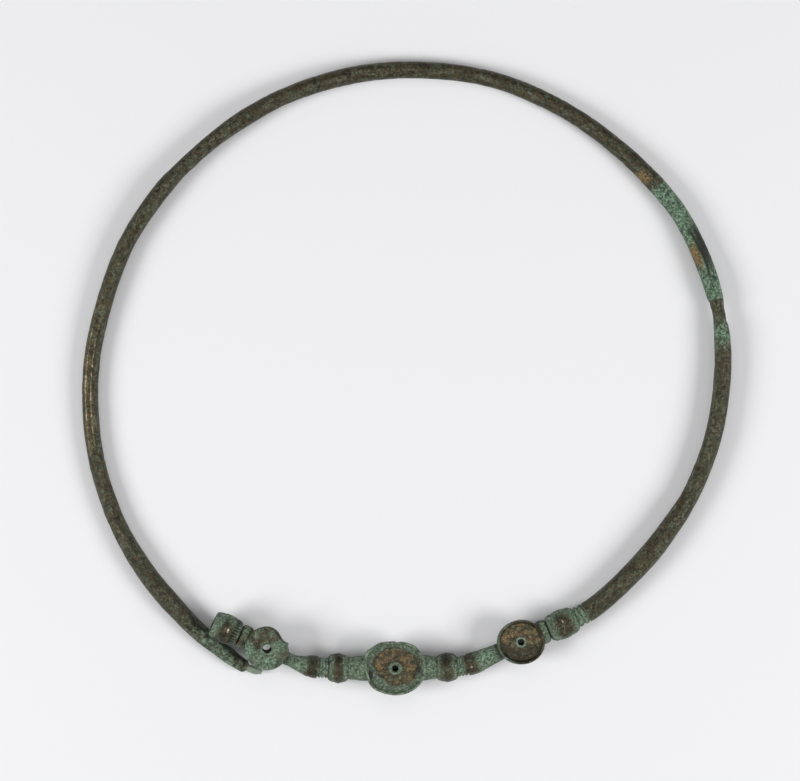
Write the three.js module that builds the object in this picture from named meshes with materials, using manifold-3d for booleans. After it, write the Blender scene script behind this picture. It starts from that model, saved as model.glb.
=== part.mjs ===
// A bronze disc torc: a neck ring cast in one with three dished discs and turned mouldings at its front.
// It lies on its back on the plane z = 0, sprung open at the left disc. Millimetres, +Z up, +Y to the nape.
import * as THREE from "three";
import { mergeVertices } from "three/addons/utils/BufferGeometryUtils.js";
import Module from "manifold-3d";

const wasm = await Module();
wasm.setup();

// The ring, anticlockwise from the right-hand collar to the free end, seen from above:
// [degrees round from +X, reach of the centreline from the origin, thickness of the rod, gap under the rod].
const RING_STATIONS = [
  [-46, 68.4, 4.9, 1.1],
  [-36, 69.1, 5.05, 1.0],
  [-29, 69.8, 4.75, 1.0],
  [-22, 70.8, 4.2, 1.2],
  [-11, 71.9, 4.2, 1.3],
  [0, 72.75, 4.2, 1.3],
  [7, 73.3, 4.0, 1.4],
  [12, 73.45, 3.1, 1.8],
  [15.5, 73.5, 4.0, 1.3],
  [22, 73.55, 4.35, 0.9],
  [30, 73.5, 4.15, 0.7],
  [37, 72.9, 4.3, 0.45],
  [48, 72.1, 4.05, 0.25],
  [60, 71.8, 3.95, 0.1],
  [74, 71.75, 3.9, 0],
  [88, 71.2, 4.1, 0.1],
  [100, 71.05, 4.2, 0.4],
  [113, 70.9, 4.0, 0.9],
  [123, 70.7, 4.15, 1.3],
  [130, 70.75, 3.7, 1.6],
  [137, 70.95, 3.7, 1.6],
  [142, 71.25, 4.1, 1.4],
  [153, 71.75, 3.95, 1.1],
  [163, 71.9, 3.95, 0.7],
  [178, 73.0, 3.95, 0.15],
  [193, 74.05, 3.9, 0],
  [206, 74.8, 4.05, 0],
  [216, 75.1, 4.55, 0],
  [223, 75.25, 4.75, 0],
  [230, 75.75, 4.35, 0],
  [236, 76.15, 3.8, 0.05],
];
const ROD_END = [-37.1, -66.8, 1.85];
const ROD_END_RADIUS = 1.65;
const TENON_TIP = [-33.6, -68.1, 1.55];
const TENON_RADIUS = 0.95;
const TENON_TIP_RADIUS = 0.5;

// The front, from the socket end on the left to the right-hand collar: points of its centreline.
const SOCKET_FACE = [-44.8, -56.2, 6.5];
const LEFT_DISC = [-32.3, -61.9, 5.3];
const LEFT_BAR = [-26.5, -65.1, 4.8];
const LEFT_TRUMPET = [-22.2, -66.4, 4.3];
const LEFT_BEAD = [-15.9, -66.9, 3.6];
const CENTRE_DISC = [-2.7, -66.75, 3.6];
const RIGHT_BEAD = [9.1, -66.7, 3.6];
const RIGHT_TRUMPET = [14.5, -66.0, 3.6];
const RIGHT_BAR = [18.5, -64.4, 3.6];
const RIGHT_DISC = [26.2, -60.7, 3.6];
const RIGHT_COLLAR = [41.1, -54.2, 3.6];
const FRONT_KNOTS = [
  SOCKET_FACE,
  LEFT_DISC,
  LEFT_BAR,
  LEFT_TRUMPET,
  LEFT_BEAD,
  CENTRE_DISC,
  RIGHT_BEAD,
  RIGHT_TRUMPET,
  RIGHT_BAR,
  RIGHT_DISC,
  RIGHT_COLLAR,
];

// Mouldings between the centre disc and a side disc: radii, and lengths along the bar.
const WAIST_RADIUS = 2.1; // of the bar inside every disc
const NECK_START = 6.6; // from the centre disc's middle
const NECK = { wide: 3.1, narrow: 2.8 };
const BEAD = { length: 4.6, foot: 2.7, crest: 3.55 };
const REEL = { length: 2.3, root: 2.2, crest: 2.5, count: 3 };
const TRUMPET = { lip: 0.45, wide: 2.75, brim: 1.6, flare: 2.2 };
const LEFT_SIDE = { neckEnd: 10.9, barStart: 24.2, barRadius: 1.7 };
const RIGHT_SIDE = { neckEnd: 9.6, barStart: 25.2, barRadius: 2.15 };
// Mouldings outside a side disc, by distance from that disc's middle.
const SHOULDER = { from: 4.4, to: 6.9, foot: 2.5, crest: 2.95 };
const END_BEAD = { to: 13.8, foot: 2.5, crest: 3.55 };
const END_REEL = { to: 16.4, root: 2.2, crest: 2.55, count: 2 };
const ROD_LIP_RADIUS = 2.55;
const SOCKET = { radius: 1.15, depth: 4.2 };

// The discs: reach along and across the bar, depth under the centreline, depth of the dished floor, radius of
// the pin hole, and the corners where the outline leaves its oval.
const DISC_HEIGHT = 3.4;
const RIM_WIDTH = 0.65;
const WALL_HEIGHT = 1.5;
const FOOT_SHARE = 0.56;
const BELLY_SHARE = 0.82;
const BOSS_RADIUS = 1.3;
const BOSS_HEIGHT = 0.25;
const DISCS = [
  {
    at: LEFT_DISC,
    across: [5.2, 5.15],
    foot: 3.1,
    dish: 0.4,
    hole: 1.0,
    corners: [{ at: 31, by: -1.15, spread: 20 }],
  },
  {
    at: CENTRE_DISC,
    across: [7.2, 6.3],
    foot: CENTRE_DISC[2],
    dish: 0.7,
    hole: 0.7,
    corners: [
      { at: 148, by: 0.85, spread: 16 },
      { at: 35, by: -0.35, spread: 20 },
    ],
  },
  {
    at: RIGHT_DISC,
    across: [5.65, 5.25],
    foot: 3.1,
    dish: 0.7,
    hole: 0.7,
    corners: [],
  },
];

// The dented flank above the pinch in the ring, by degrees round from +X.
const DENT = { from: 11, to: 27, depth: 0.5, side: 0.85, spread: 0.55 };

const BAR_SIDES = 18;
const DISC_SIDES = 32;
const HOLE_SIDES = 14;
const RING_STEP = 5; // the most between two sections along the plain rod
const CHORDS = 60; // between two knots, when the centreline is measured
const MERGE = 1e-4;
const CUT_REACH = 20; // how far a cutter runs past what it cuts
const FLOOR_WIDTH = 400;

const RADIAN = Math.PI / 180;
const smooth = (t) => t * t * (3 - 2 * t);

function ringPoint([degrees, reach, thickness, gap]) {
  const turn = degrees * RADIAN;
  return [reach * Math.cos(turn), reach * Math.sin(turn), gap + thickness / 2];
}

// The centreline, from the socket face round to the tip of the tenon, and how far along it each knot lies.
const knots = [
  ...FRONT_KNOTS,
  ...RING_STATIONS.map(ringPoint),
  ROD_END,
  TENON_TIP,
];
const spine = new THREE.CatmullRomCurve3(
  knots.map((p) => new THREE.Vector3(...p)),
);
spine.arcLengthDivisions = CHORDS * (knots.length - 1);
const lengths = spine.getLengths();
const spineLength = lengths.at(-1);
const alongTo = (index) => lengths[CHORDS * index];

// Profile pieces: each returns [distance, radius] pairs that follow on from the last.
function bead(from, to, foot, crest, steps = 7) {
  const middle = (from + to) / 2;
  return Array.from({ length: steps }, (_, i) => {
    const turn = (Math.PI * (i + 0.5)) / steps;
    const half = (to - from) / 2;
    return [
      middle - half * Math.cos(turn),
      foot + (crest - foot) * Math.sin(turn),
    ];
  });
}

// Fine rings side by side, each a flat crest that rises from the root.
function reel(from, to, { root, crest, count }) {
  const pitch = (to - from) / count;
  const points = [];
  for (let i = 0; i < count; i++) {
    const start = from + pitch * i;
    points.push([start + pitch * 0.1, root], [start + pitch * 0.3, crest]);
    points.push([start + pitch * 0.75, crest], [start + pitch * 0.95, root]);
  }
  return points;
}

function innerMoulding({ neckEnd, barStart, barRadius }) {
  const beadEnd = neckEnd + BEAD.length;
  const reelEnd = beadEnd + REEL.length;
  const brimEnd = reelEnd + TRUMPET.lip + TRUMPET.brim;
  return [
    [NECK_START - 0.8, WAIST_RADIUS],
    [NECK_START, NECK.wide],
    [(NECK_START + neckEnd) / 2, NECK.narrow + 0.05],
    [neckEnd, NECK.narrow],
    ...bead(neckEnd, beadEnd, BEAD.foot, BEAD.crest),
    ...reel(beadEnd, reelEnd, REEL),
    [reelEnd + 0.1, TRUMPET.wide - 0.3],
    [reelEnd + TRUMPET.lip, TRUMPET.wide],
    [brimEnd, TRUMPET.wide - 0.05],
    [brimEnd + TRUMPET.flare, barRadius + 0.3],
    [barStart, barRadius],
  ];
}

function outerMoulding() {
  return [
    [SHOULDER.from - 0.4, SHOULDER.foot],
    ...bead(SHOULDER.from, SHOULDER.to, SHOULDER.foot, SHOULDER.crest, 5),
    ...bead(SHOULDER.to, END_BEAD.to, END_BEAD.foot, END_BEAD.crest, 9),
  ];
}

// The rod's thickness is eased from one station to the next.
const rodKnots = RING_STATIONS.map(([, , thickness], i) => [
  alongTo(FRONT_KNOTS.length + i),
  thickness / 2,
]);
rodKnots.push([alongTo(knots.length - 2), ROD_END_RADIUS]);

function rodSections(rodStart) {
  const sections = [];
  let last = [rodStart, ROD_LIP_RADIUS];
  for (const next of rodKnots) {
    const steps = Math.ceil((next[0] - last[0]) / RING_STEP);
    for (let i = 1; i <= steps; i++) {
      const share = i / steps;
      sections.push([
        THREE.MathUtils.lerp(last[0], next[0], share),
        THREE.MathUtils.lerp(last[1], next[1], smooth(share)),
      ]);
    }
    last = next;
  }
  return sections;
}

function barProfile() {
  const [left, centre, right] = DISCS.map(({ at }) =>
    alongTo(FRONT_KNOTS.indexOf(at)),
  );
  const rodStart = right + END_REEL.to;
  const sections = rodSections(rodStart);
  const rodEnd = sections.pop()[0];
  const leftEnd = outerMoulding().filter(([away]) => away < left - 0.2);
  return [
    [0, 0],
    [0, END_BEAD.foot - 0.1],
    ...leftEnd.map(([away, r]) => [left - away, r]).reverse(),
    [left, WAIST_RADIUS],
    ...innerMoulding(LEFT_SIDE)
      .map(([away, r]) => [centre - away, r])
      .reverse(),
    [centre, WAIST_RADIUS],
    ...innerMoulding(RIGHT_SIDE).map(([away, r]) => [centre + away, r]),
    [right, WAIST_RADIUS],
    ...outerMoulding().map(([away, r]) => [right + away, r]),
    ...reel(right + END_BEAD.to, rodStart, END_REEL),
    [rodStart, ROD_LIP_RADIUS],
    ...sections,
    [rodEnd - 0.35, ROD_END_RADIUS],
    [rodEnd, ROD_END_RADIUS - 0.35],
    [rodEnd + 0.05, TENON_RADIUS],
    [spineLength - 1.2, TENON_RADIUS],
    [spineLength - 0.3, TENON_TIP_RADIUS],
    [spineLength, 0],
  ];
}

// The directions across the bar at a place on it: level and outwards, and up.
function sectionAxes(ahead) {
  const outward = new THREE.Vector3(ahead.y, -ahead.x, 0).normalize();
  return [outward, new THREE.Vector3().crossVectors(outward, ahead)];
}

// A bar turned upright on its axis, then bent so that its axis follows the centreline.
function bentBar() {
  const profile = barProfile().map(([along, r]) => new THREE.Vector2(r, along));
  const bar = new THREE.LatheGeometry(profile, BAR_SIDES);
  const place = bar.getAttribute("position");
  const point = new THREE.Vector3();
  for (let i = 0; i < place.count; i++) {
    point.fromBufferAttribute(place, i);
    const share = THREE.MathUtils.clamp(point.y / spineLength, 0, 1);
    const middle = spine.getPointAt(share);
    const [outward, above] = sectionAxes(spine.getTangentAt(share));
    const keep = 1 - dentAt(middle, Math.atan2(point.x, point.z));
    middle.addScaledVector(outward, point.x * keep);
    middle.addScaledVector(above, point.z * keep);
    place.setXYZ(i, middle.x, middle.y, middle.z);
  }
  return bar;
}

// The share of the rod's radius that the dent takes, where the surface leans outwards by lean radians from the top.
function dentAt(middle, lean) {
  const degrees = Math.atan2(middle.y, middle.x) / RADIAN;
  const share = (degrees - DENT.from) / (DENT.to - DENT.from);
  if (share <= 0 || share >= 1) return 0;
  const off = (lean - DENT.side) / DENT.spread;
  return (DENT.depth / 2) * Math.sin(Math.PI * share) * Math.exp(-off * off);
}

// Sets a shape whose axis is +Z upright on the bar, with its middle on the centreline.
function seatOnBar(geometry, at) {
  const share = alongTo(FRONT_KNOTS.indexOf(at)) / spineLength;
  const [outward, above] = sectionAxes(spine.getTangentAt(share));
  const along = new THREE.Vector3().crossVectors(above, outward);
  const turn = new THREE.Matrix4().makeBasis(along, outward.negate(), above);
  const flat = new THREE.Matrix4().makeRotationZ(-Math.atan2(along.y, along.x));
  return geometry.applyMatrix4(turn.multiply(flat)).translate(...at);
}

// How much further out than its oval a disc's outline lies, in the direction turn.
function cornerReach(corners, turn) {
  return corners.reduce((sum, { at, by, spread }) => {
    const off = Math.atan2(
      Math.sin(turn - at * RADIAN),
      Math.cos(turn - at * RADIAN),
    );
    return sum + by * Math.exp(-((off / (spread * RADIAN)) ** 2));
  }, 0);
}

// A dished disc on a tapering foot, turned about its own upright axis, then drawn out to its uneven outline.
function discGeometry({ at, across, foot, dish, corners }) {
  const edge = across[0];
  const floor = DISC_HEIGHT - dish;
  const profile = [
    [0, -foot],
    [edge * FOOT_SHARE, -foot],
    [edge * BELLY_SHARE, -foot * 0.3],
    [edge - 0.25, DISC_HEIGHT - WALL_HEIGHT],
    [edge, DISC_HEIGHT - WALL_HEIGHT / 2],
    [edge - 0.2, DISC_HEIGHT - 0.1],
    [edge - RIM_WIDTH * 0.6, DISC_HEIGHT],
    [edge - RIM_WIDTH, DISC_HEIGHT - 0.15],
    [edge - RIM_WIDTH - 0.15, floor],
    [BOSS_RADIUS, floor],
    [BOSS_RADIUS - 0.15, floor + BOSS_HEIGHT],
    [0, floor + BOSS_HEIGHT],
  ];
  const disc = new THREE.LatheGeometry(
    profile.map(([r, z]) => new THREE.Vector2(r, z)),
    DISC_SIDES,
  ).rotateX(Math.PI / 2);
  const place = disc.getAttribute("position");
  for (let i = 0; i < place.count; i++) {
    const [x, y] = [place.getX(i), place.getY(i)];
    const part = Math.hypot(x, y) / edge;
    const turn = Math.atan2(y, x);
    const more = cornerReach(corners, turn) * part ** 2;
    place.setX(i, x + more * Math.cos(turn));
    place.setY(i, (y * across[1]) / edge + more * Math.sin(turn));
  }
  return seatOnBar(disc, at);
}

// Booleans work on closed meshes whose shared corners are merged and whose faces all have an area.
function solidOf(geometry) {
  const bare = new THREE.BufferGeometry()
    .setAttribute("position", geometry.getAttribute("position"))
    .setIndex(geometry.getIndex());
  const merged = mergeVertices(bare, MERGE);
  const faces = [];
  for (let i = 0; i < merged.index.count; i += 3) {
    const [a, b, c] = merged.index.array.slice(i, i + 3);
    if (a !== b && b !== c && c !== a) faces.push(a, b, c);
  }
  const solid = new wasm.Manifold(
    new wasm.Mesh({
      numProp: 3,
      vertProperties: merged.getAttribute("position").array,
      triVerts: new Uint32Array(faces),
    }),
  );
  if (solid.volume() < 0) throw new Error("a profile runs the wrong way round");
  return solid;
}

function geometryOf(solid) {
  const { vertProperties, triVerts } = solid.getMesh();
  return new THREE.BufferGeometry()
    .setAttribute("position", new THREE.BufferAttribute(vertProperties, 3))
    .setIndex(new THREE.BufferAttribute(triVerts, 1));
}

function pinHole({ at, hole }) {
  const pin = new THREE.CylinderGeometry(hole, hole, CUT_REACH, HOLE_SIDES);
  return seatOnBar(pin.rotateX(Math.PI / 2), at);
}

function socketBore() {
  const into = spine.getTangentAt(0);
  const bore = SOCKET.depth + CUT_REACH;
  const turn = new THREE.Quaternion().setFromUnitVectors(
    new THREE.Vector3(0, 1, 0),
    into,
  );
  const middle = new THREE.Vector3(...SOCKET_FACE).addScaledVector(
    into,
    SOCKET.depth - bore / 2,
  );
  return new THREE.CylinderGeometry(
    SOCKET.radius,
    SOCKET.radius,
    bore,
    HOLE_SIDES,
  )
    .applyQuaternion(turn)
    .translate(...middle.toArray());
}

function torcSolid() {
  const below = new THREE.BoxGeometry(
    FLOOR_WIDTH,
    FLOOR_WIDTH,
    CUT_REACH,
  ).translate(0, 0, -CUT_REACH / 2);
  let solid = solidOf(bentBar());
  for (const disc of DISCS) solid = solid.add(solidOf(discGeometry(disc)));
  for (const disc of DISCS) solid = solid.subtract(solidOf(pinHole(disc)));
  return solid.subtract(solidOf(socketBore())).subtract(solidOf(below));
}

const bronze = new THREE.MeshStandardMaterial({
  color: 0x4a4a33,
  roughness: 0.55,
  metalness: 0.7,
});
const torc = new THREE.Mesh(geometryOf(torcSolid()), bronze);
torc.name = "torc";

// The torc lies with the middle of its outline over the origin.
const outline = new THREE.Box3().setFromObject(torc);
const middle = outline.getCenter(new THREE.Vector3());
torc.geometry.translate(-middle.x, -middle.y, 0);

const model = new THREE.Group();
model.add(torc);

export default model;
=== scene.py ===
"""The looks of the bronze disc torc: a fine mesh in place of the CAD solid, its patina, floor and light.

The mesh is worked out in millimetres from the same named sizes as the solid, then moved into the row frame.
"""

import math

import bpy
import numpy as np
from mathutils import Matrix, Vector


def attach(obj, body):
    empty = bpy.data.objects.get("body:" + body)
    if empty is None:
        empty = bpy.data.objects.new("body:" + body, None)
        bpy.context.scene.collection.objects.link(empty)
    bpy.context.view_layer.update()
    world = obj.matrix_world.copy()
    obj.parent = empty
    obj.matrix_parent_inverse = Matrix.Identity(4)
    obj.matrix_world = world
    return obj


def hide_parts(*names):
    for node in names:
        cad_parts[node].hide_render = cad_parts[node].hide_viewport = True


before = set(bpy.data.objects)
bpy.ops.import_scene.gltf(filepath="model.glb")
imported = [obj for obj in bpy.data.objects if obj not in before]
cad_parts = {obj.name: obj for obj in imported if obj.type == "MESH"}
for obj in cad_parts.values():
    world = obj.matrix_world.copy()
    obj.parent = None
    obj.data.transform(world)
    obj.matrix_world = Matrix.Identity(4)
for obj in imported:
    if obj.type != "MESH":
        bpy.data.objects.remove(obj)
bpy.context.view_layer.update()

MM = 0.001
# From the frame that the sizes below are measured in to the row frame, in millimetres.
CENTRING = np.array([0.1087, -0.0625, 0.0])

# The ring: degrees round from +X, reach of the centreline, thickness of the rod, gap under the rod.
RING_STATIONS = [
    (-46, 68.4, 4.9, 1.1),
    (-36, 69.1, 5.05, 1.0),
    (-29, 69.8, 4.75, 1.0),
    (-22, 70.8, 4.2, 1.2),
    (-11, 71.9, 4.2, 1.3),
    (0, 72.75, 4.2, 1.3),
    (7, 73.3, 4.0, 1.4),
    (12, 73.45, 3.1, 1.8),
    (15.5, 73.5, 4.0, 1.3),
    (22, 73.55, 4.35, 0.9),
    (30, 73.5, 4.15, 0.7),
    (37, 72.9, 4.3, 0.45),
    (48, 72.1, 4.05, 0.25),
    (60, 71.8, 3.95, 0.1),
    (74, 71.75, 3.9, 0),
    (88, 71.2, 4.1, 0.1),
    (100, 71.05, 4.2, 0.4),
    (113, 70.9, 4.0, 0.9),
    (123, 70.7, 4.15, 1.3),
    (130, 70.75, 3.7, 1.6),
    (137, 70.95, 3.7, 1.6),
    (142, 71.25, 4.1, 1.4),
    (153, 71.75, 3.95, 1.1),
    (163, 71.9, 3.95, 0.7),
    (178, 73.0, 3.95, 0.15),
    (193, 74.05, 3.9, 0),
    (206, 74.8, 4.05, 0),
    (216, 75.1, 4.55, 0),
    (223, 75.25, 4.75, 0),
    (230, 75.75, 4.35, 0),
    (236, 76.15, 3.8, 0.05),
]
ROD_END = (-37.1, -66.8, 1.85)
ROD_END_RADIUS = 1.65
TENON_TIP = (-33.6, -68.1, 1.55)
TENON_RADIUS = 0.95
TENON_TIP_RADIUS = 0.5

# The front's centreline, from the socket end on the left to the right-hand collar.
SOCKET_FACE = (-44.8, -56.2, 6.5)
LEFT_DISC = (-32.3, -61.9, 5.3)
LEFT_BAR = (-26.5, -65.1, 4.8)
LEFT_TRUMPET = (-22.2, -66.4, 4.3)
LEFT_BEAD = (-15.9, -66.9, 3.6)
CENTRE_DISC = (-2.7, -66.75, 3.6)
RIGHT_BEAD = (9.1, -66.7, 3.6)
RIGHT_TRUMPET = (14.5, -66.0, 3.6)
RIGHT_BAR = (18.5, -64.4, 3.6)
RIGHT_DISC = (26.2, -60.7, 3.6)
RIGHT_COLLAR = (41.1, -54.2, 3.6)
FRONT_KNOTS = [
    SOCKET_FACE,
    LEFT_DISC,
    LEFT_BAR,
    LEFT_TRUMPET,
    LEFT_BEAD,
    CENTRE_DISC,
    RIGHT_BEAD,
    RIGHT_TRUMPET,
    RIGHT_BAR,
    RIGHT_DISC,
    RIGHT_COLLAR,
]

# Mouldings between the centre disc and a side disc, by distance from the centre disc's middle.
WAIST_RADIUS = 2.1
NECK_START = 6.6
NECK_WIDE = 3.05
NECK_NARROW = 2.72
BEAD_LENGTH = 4.6
BEAD_FOOT = 2.65
BEAD_CREST = 3.5
REEL_LENGTH = 2.3
REEL_ROOT = 2.15
REEL_CREST = 2.45
TRUMPET_WIDE = 2.7
TRUMPET_LIP = 0.45
TRUMPET_BRIM = 1.6
TRUMPET_FLARE = 2.2
LEFT_SIDE = {"neck_end": 10.9, "bar_start": 24.2, "bar_radius": 1.65}
RIGHT_SIDE = {"neck_end": 9.6, "bar_start": 25.2, "bar_radius": 2.1}
# Mouldings outside a side disc, by distance from that disc's middle.
SHOULDER_FROM = 4.4
SHOULDER_TO = 6.9
SHOULDER_FOOT = 2.4
SHOULDER_CREST = 2.9
END_BEAD_TO = 13.8
END_BEAD_FOOT = 2.4
END_BEAD_CREST = 3.5
END_REEL_TO = 16.4
END_REEL_ROOT = 2.15
END_REEL_CREST = 2.5
ROD_LIP_RADIUS = 2.5
SOCKET_RADIUS = 1.15
SOCKET_DEPTH = 4.2

# Grooves and keels turned into the mouldings: depth or rise, and spread along the bar.
NECK_GROOVE = (0.16, 0.22)
KEEL = (0.12, 0.5)
SHOULDER_GROOVE = (0.3, 0.2)
END_BEAD_GROOVES = ((SHOULDER_TO + 1.7, 0.14), (END_BEAD_TO - 2.1, 0.1))
END_BEAD_GROOVE_SPREAD = 0.25

DISC_HEIGHT = 3.4
RIM_WIDTH = 0.55
WALL_HEIGHT = 1.5
FOOT_SHARE = 0.56
BELLY_SHARE = 0.82

# How finely the mesh is cut, in millimetres and in sides round.
FRONT_STEP = 0.16
ROD_STEP = 0.6
PROFILE_STEP = 0.25
ROD_SIDES = 36
FRONT_SIDES = 52
DISC_SIDES = 120
# The bar's stretches stop inside the discs, this far from their middles.
LEFT_DISC_GAP = 1.6
DISC_GAP = 1.3
SOCKET_FACE_INSET = 0.15
# The surface keeps this far inside the solid on average, and above the ground.
BAR_INSET = 0.1
DISC_INSET = 0.07
GROUND_CLEARANCE = 0.01

# The worn surface: size and height of its lumps, of its finer grain and of its pits.
LUMP_SIZE = 2.6
LUMP_HEIGHT_ROD = 0.07
LUMP_HEIGHT_FRONT = 0.12
GRAIN_SIZE = 0.7
GRAIN_HEIGHT = 0.05
PIT_SIZE = 0.9
PIT_DEPTH = 0.35
# Noise above this level makes a pit.
PIT_LEVEL = 0.35
# On the bar the streaks of the patina are drawn out lengthwise by these scales.
STREAK_ALONG = 0.22
STREAK_ROUND = 1.6

LATTICE_SIZE = 32
LATTICE = np.random.default_rng(7).random((LATTICE_SIZE,) * 3)


def smooth(t):
    return t * t * (3 - 2 * t)


def step_between(low, high, x):
    return smooth(np.clip((x - low) / (high - low), 0, 1))


def hump(x, middle, spread):
    return np.exp(-(((x - middle) / spread) ** 2))


def value_noise(points, size):
    """Smooth noise from -1 to 1 at points, with lumps about size wide."""
    p = points / size
    base = np.floor(p).astype(int)
    f = smooth(p - base)
    total = np.zeros(len(points))
    for i in (0, 1):
        for j in (0, 1):
            for k in (0, 1):
                x, y, z = ((base + (i, j, k)) % LATTICE_SIZE).T
                corner = LATTICE[x, y, z]
                weight = (
                    (f[:, 0] if i else 1 - f[:, 0])
                    * (f[:, 1] if j else 1 - f[:, 1])
                    * (f[:, 2] if k else 1 - f[:, 2])
                )
                total += weight * corner
    return 2 * total - 1


LAYER_SHIFT = 17.3


def layered_noise(points, size, layers=3):
    total = np.zeros(len(points))
    for i in range(layers):
        total += value_noise(points + LAYER_SHIFT * i, size / 2**i) / 2**i
    return total / (2 - 0.5 ** (layers - 1))


# The centreline, as a centripetal spline through the knots.
def ring_point(station):
    degrees, reach, thickness, gap = station
    turn = math.radians(degrees)
    return (reach * math.cos(turn), reach * math.sin(turn), gap + thickness / 2)


KNOTS = np.array(
    FRONT_KNOTS + [ring_point(s) for s in RING_STATIONS] + [ROD_END, TENON_TIP]
)
CHORDS = 60


def spline_points(knots):
    ends = [2 * knots[0] - knots[1]], [2 * knots[-1] - knots[-2]]
    p = np.concatenate([ends[0], knots, ends[1]])
    out = []
    for i in range(1, len(p) - 2):
        p0, p1, p2, p3 = p[i - 1 : i + 3]
        d0, d1, d2 = (
            max(np.linalg.norm(b - a), 1e-6) ** 0.5
            for a, b in ((p0, p1), (p1, p2), (p2, p3))
        )
        m1 = ((p1 - p0) / d0 - (p2 - p0) / (d0 + d1) + (p2 - p1) / d1) * d1
        m2 = ((p2 - p1) / d1 - (p3 - p1) / (d1 + d2) + (p3 - p2) / d2) * d1
        t = np.linspace(0, 1, CHORDS, endpoint=False)[:, None]
        a = 2 * p1 - 2 * p2 + m1 + m2
        b = -3 * p1 + 3 * p2 - 2 * m1 - m2
        out.append(a * t**3 + b * t**2 + m1 * t + p1)
    out.append(knots[-1:])
    return np.concatenate(out)


PATH = spline_points(KNOTS)
ALONG = np.concatenate(
    [[0], np.cumsum(np.linalg.norm(np.diff(PATH, axis=0), axis=1))]
)
TOTAL = ALONG[-1]


def along_to(index):
    return ALONG[CHORDS * index]


def path_at(s):
    return np.stack([np.interp(s, ALONG, PATH[:, k]) for k in range(3)], axis=-1)


def axes_at(s):
    """The bar's direction, the level direction across it that points outwards, and up."""
    reach = 0.4
    ahead = path_at(np.minimum(s + reach, TOTAL)) - path_at(np.maximum(s - reach, 0))
    ahead /= np.linalg.norm(ahead, axis=-1, keepdims=True)
    outward = np.stack([ahead[..., 1], -ahead[..., 0], 0 * ahead[..., 0]], axis=-1)
    outward /= np.linalg.norm(outward, axis=-1, keepdims=True)
    return ahead, outward, np.cross(outward, ahead)


LEFT_AT = along_to(FRONT_KNOTS.index(LEFT_DISC))
CENTRE_AT = along_to(FRONT_KNOTS.index(CENTRE_DISC))
RIGHT_AT = along_to(FRONT_KNOTS.index(RIGHT_DISC))
ROD_START = RIGHT_AT + END_REEL_TO
ROD_END_AT = along_to(len(KNOTS) - 2)

ROD_PLACES = [ROD_START + 0.5] + [
    along_to(len(FRONT_KNOTS) + i) for i in range(len(RING_STATIONS))
]
ROD_RADII = [ROD_LIP_RADIUS] + [s[2] / 2 for s in RING_STATIONS]
ROD_PLACES.append(ROD_END_AT)
ROD_RADII.append(ROD_END_RADIUS)


def rod_radius(s):
    places, radii = np.array(ROD_PLACES), np.array(ROD_RADII)
    i = np.clip(np.searchsorted(places, s) - 1, 0, len(places) - 2)
    t = smooth(np.clip((s - places[i]) / (places[i + 1] - places[i]), 0, 1))
    return radii[i] + (radii[i + 1] - radii[i]) * t


# Profiles: each gives a radius for a distance d along its own stretch.
def bead(d, start, end, foot, crest):
    t = np.clip((d - start) / (end - start), 0, 1)
    return foot + (crest - foot) * np.sqrt(np.maximum(1 - (2 * t - 1) ** 2, 0))


def ribs(d, start, end, root, crest, count):
    t = (d - start) / (end - start) * count % 1
    rise = step_between(0.08, 0.3, t) * (1 - step_between(0.7, 0.92, t))
    return root + (crest - root) * rise


def inner_profile(d, side):
    """Radius between the centre disc and a side disc, d from the centre disc's middle."""
    bead_start = side["neck_end"]
    bead_end = bead_start + BEAD_LENGTH
    reel_end = bead_end + REEL_LENGTH
    brim_start = reel_end + TRUMPET_LIP
    brim_end = brim_start + TRUMPET_BRIM
    flare_end = brim_end + TRUMPET_FLARE
    neck = NECK_NARROW + (NECK_WIDE - NECK_NARROW) * (
        1 - step_between(NECK_START, bead_start - 0.6, d)
    )
    neck -= NECK_GROOVE[0] * hump(d, bead_start - 0.1, NECK_GROOVE[1])
    keel = KEEL[0] * hump(d, bead_start + BEAD_LENGTH / 2, KEEL[1])
    r = np.where(d < NECK_START - 0.5, WAIST_RADIUS, neck)
    r = np.where(
        d >= bead_start,
        bead(d, bead_start, bead_end, BEAD_FOOT - 0.15, BEAD_CREST - 0.08) + keel,
        r,
    )
    r = np.where(
        d >= bead_end, ribs(d, bead_end, reel_end, REEL_ROOT, REEL_CREST, 3), r
    )
    lip = TRUMPET_WIDE - 0.5 * (1 - step_between(0, TRUMPET_LIP, d - reel_end)) ** 2
    bar = side["bar_radius"]
    flare = (
        bar
        + 0.3 * (1 - step_between(flare_end, side["bar_start"], d))
        + (TRUMPET_WIDE - bar - 0.3)
        * (1 - step_between(brim_end - 0.9, flare_end + 0.6, d))
    )
    r = np.where(d >= reel_end, np.minimum(lip, flare), r)
    return r


def outer_profile(d):
    """Radius outside a side disc, d from that disc's middle."""
    r = np.where(
        d < SHOULDER_FROM,
        SHOULDER_FOOT,
        bead(d, SHOULDER_FROM, SHOULDER_TO, SHOULDER_FOOT, SHOULDER_CREST),
    )
    depth, spread = SHOULDER_GROOVE
    r -= depth * hump(d, SHOULDER_TO - 0.05, spread) * (d < SHOULDER_TO)
    belly = bead(d, SHOULDER_TO, END_BEAD_TO, END_BEAD_FOOT, END_BEAD_CREST)
    for place, depth in END_BEAD_GROOVES:
        belly -= depth * hump(d, place, END_BEAD_GROOVE_SPREAD)
    r = np.where(d >= SHOULDER_TO, belly, r)
    return np.where(
        d >= END_BEAD_TO,
        ribs(d, END_BEAD_TO, END_REEL_TO, END_REEL_ROOT, END_REEL_CREST, 2),
        r,
    )


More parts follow.
